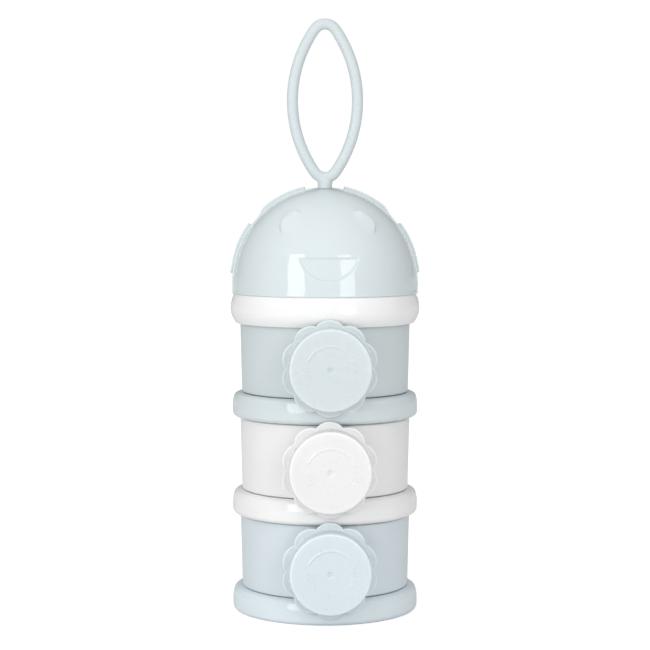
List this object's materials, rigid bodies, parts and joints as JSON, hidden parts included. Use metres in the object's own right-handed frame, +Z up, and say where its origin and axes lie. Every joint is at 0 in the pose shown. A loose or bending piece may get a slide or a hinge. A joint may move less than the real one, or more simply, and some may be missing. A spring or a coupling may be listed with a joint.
{
  "type": "formula dispenser",
  "caption": "Stacked round milk powder containers with screw-capped front spouts, a domed lid with a plain animal face, and a silicone carrying loop.",
  "frame": {"origin": "on the tower's axis, in the plane that its base ring stands on", "axes": "+Z up along the tower's axis; the spouts and the face point along -Y"},
  "size_m": [0.0928, 0.1034, 0.2865],
  "materials": {
    "glossy_blue_grey": "glossy",
    "satin_blue_grey": "satin",
    "glossy_white": "glossy",
    "satin_white": "satin",
    "glossy_light_blue": "glossy",
    "satin_light_blue": "satin",
    "silicone_blue_grey": "matte",
    "silicone_clear_white": "matte"
  },
  "bodies": {
    "lower_module": {"container_lower": "satin_light_blue", "base_ring_lower": "glossy_light_blue"},
    "neck_seal_lower": {"neck_seal_lower": "silicone_clear_white"},
    "spout_seal_lower": {"spout_seal_lower": "silicone_clear_white"},
    "spout_cap_lower": {"spout_cap_lower": "satin_light_blue"},
    "middle_module": {"container_middle": "satin_white", "base_ring_middle": "glossy_white"},
    "neck_seal_middle": {"neck_seal_middle": "silicone_clear_white"},
    "spout_seal_middle": {"spout_seal_middle": "silicone_clear_white"},
    "spout_cap_middle": {"spout_cap_middle": "satin_white"},
    "upper_module": {"container_upper": "satin_blue_grey", "base_ring_upper": "glossy_blue_grey"},
    "neck_seal_upper": {"neck_seal_upper": "silicone_clear_white"},
    "spout_seal_upper": {"spout_seal_upper": "silicone_clear_white"},
    "spout_cap_upper": {"spout_cap_upper": "satin_blue_grey"},
    "lid": {"lid_ring": "glossy_white", "dome": "glossy_blue_grey", "ear_right": "glossy_blue_grey", "ear_left": "glossy_blue_grey"},
    "carrying_loop": {"carrying_loop": "silicone_blue_grey"}
  },
  "joints": [
    {"name": "lower_cap_travel", "type": "slide", "parent": "lower_module", "child": "spout_seal_lower", "axis": [0, -1, 0], "range_m": [0, 0.00401]},
    {"name": "lower_cap_turn", "type": "hinge", "parent": "spout_seal_lower", "child": "spout_cap_lower", "pos_m": [0, -0.05, 0.0266], "axis": [0, -1, 0], "range_deg": [0, 240]},
    {"name": "middle_screw_travel", "type": "slide", "parent": "lower_module", "child": "neck_seal_lower", "axis": [0, 0, 1], "range_m": [0, 0.00468]},
    {"name": "middle_screw_turn", "type": "hinge", "parent": "neck_seal_lower", "child": "middle_module", "pos_m": [0, 0, 0.0473], "axis": [0, 0, 1], "range_deg": [0, 210]},
    {"name": "middle_cap_travel", "type": "slide", "parent": "middle_module", "child": "spout_seal_middle", "axis": [0, -1, 0], "range_m": [0, 0.00401]},
    {"name": "middle_cap_turn", "type": "hinge", "parent": "spout_seal_middle", "child": "spout_cap_middle", "pos_m": [0, -0.05, 0.0739], "axis": [0, -1, 0], "range_deg": [0, 240]},
    {"name": "upper_screw_travel", "type": "slide", "parent": "middle_module", "child": "neck_seal_middle", "axis": [0, 0, 1], "range_m": [0, 0.00468]},
    {"name": "upper_screw_turn", "type": "hinge", "parent": "neck_seal_middle", "child": "upper_module", "pos_m": [0, 0, 0.0946], "axis": [0, 0, 1], "range_deg": [0, 210]},
    {"name": "upper_cap_travel", "type": "slide", "parent": "upper_module", "child": "spout_seal_upper", "axis": [0, -1, 0], "range_m": [0, 0.00401]},
    {"name": "upper_cap_turn", "type": "hinge", "parent": "spout_seal_upper", "child": "spout_cap_upper", "pos_m": [0, -0.05, 0.1212], "axis": [0, -1, 0], "range_deg": [0, 240]},
    {"name": "lid_screw_travel", "type": "slide", "parent": "upper_module", "child": "neck_seal_upper", "axis": [0, 0, 1], "range_m": [0, 0.00468]},
    {"name": "lid_screw_turn", "type": "hinge", "parent": "neck_seal_upper", "child": "lid", "pos_m": [0, 0, 0.1419], "axis": [0, 0, 1], "range_deg": [0, 210]},
    {"name": "loop_swivel", "type": "hinge", "parent": "lid", "child": "carrying_loop", "pos_m": [0, 0, 0.2047], "axis": [0, 0, 1], "continuous": true}
  ],
  "couplings": [
    {"joint": "lower_cap_travel", "follows": "lower_cap_turn", "m_per_rad": 0.00095493},
    {"joint": "middle_screw_travel", "follows": "middle_screw_turn", "m_per_rad": 0.0012732},
    {"joint": "middle_cap_travel", "follows": "middle_cap_turn", "m_per_rad": 0.00095493},
    {"joint": "upper_screw_travel", "follows": "upper_screw_turn", "m_per_rad": 0.0012732},
    {"joint": "upper_cap_travel", "follows": "upper_cap_turn", "m_per_rad": 0.00095493},
    {"joint": "lid_screw_travel", "follows": "lid_screw_turn", "m_per_rad": 0.0012732}
  ]
}
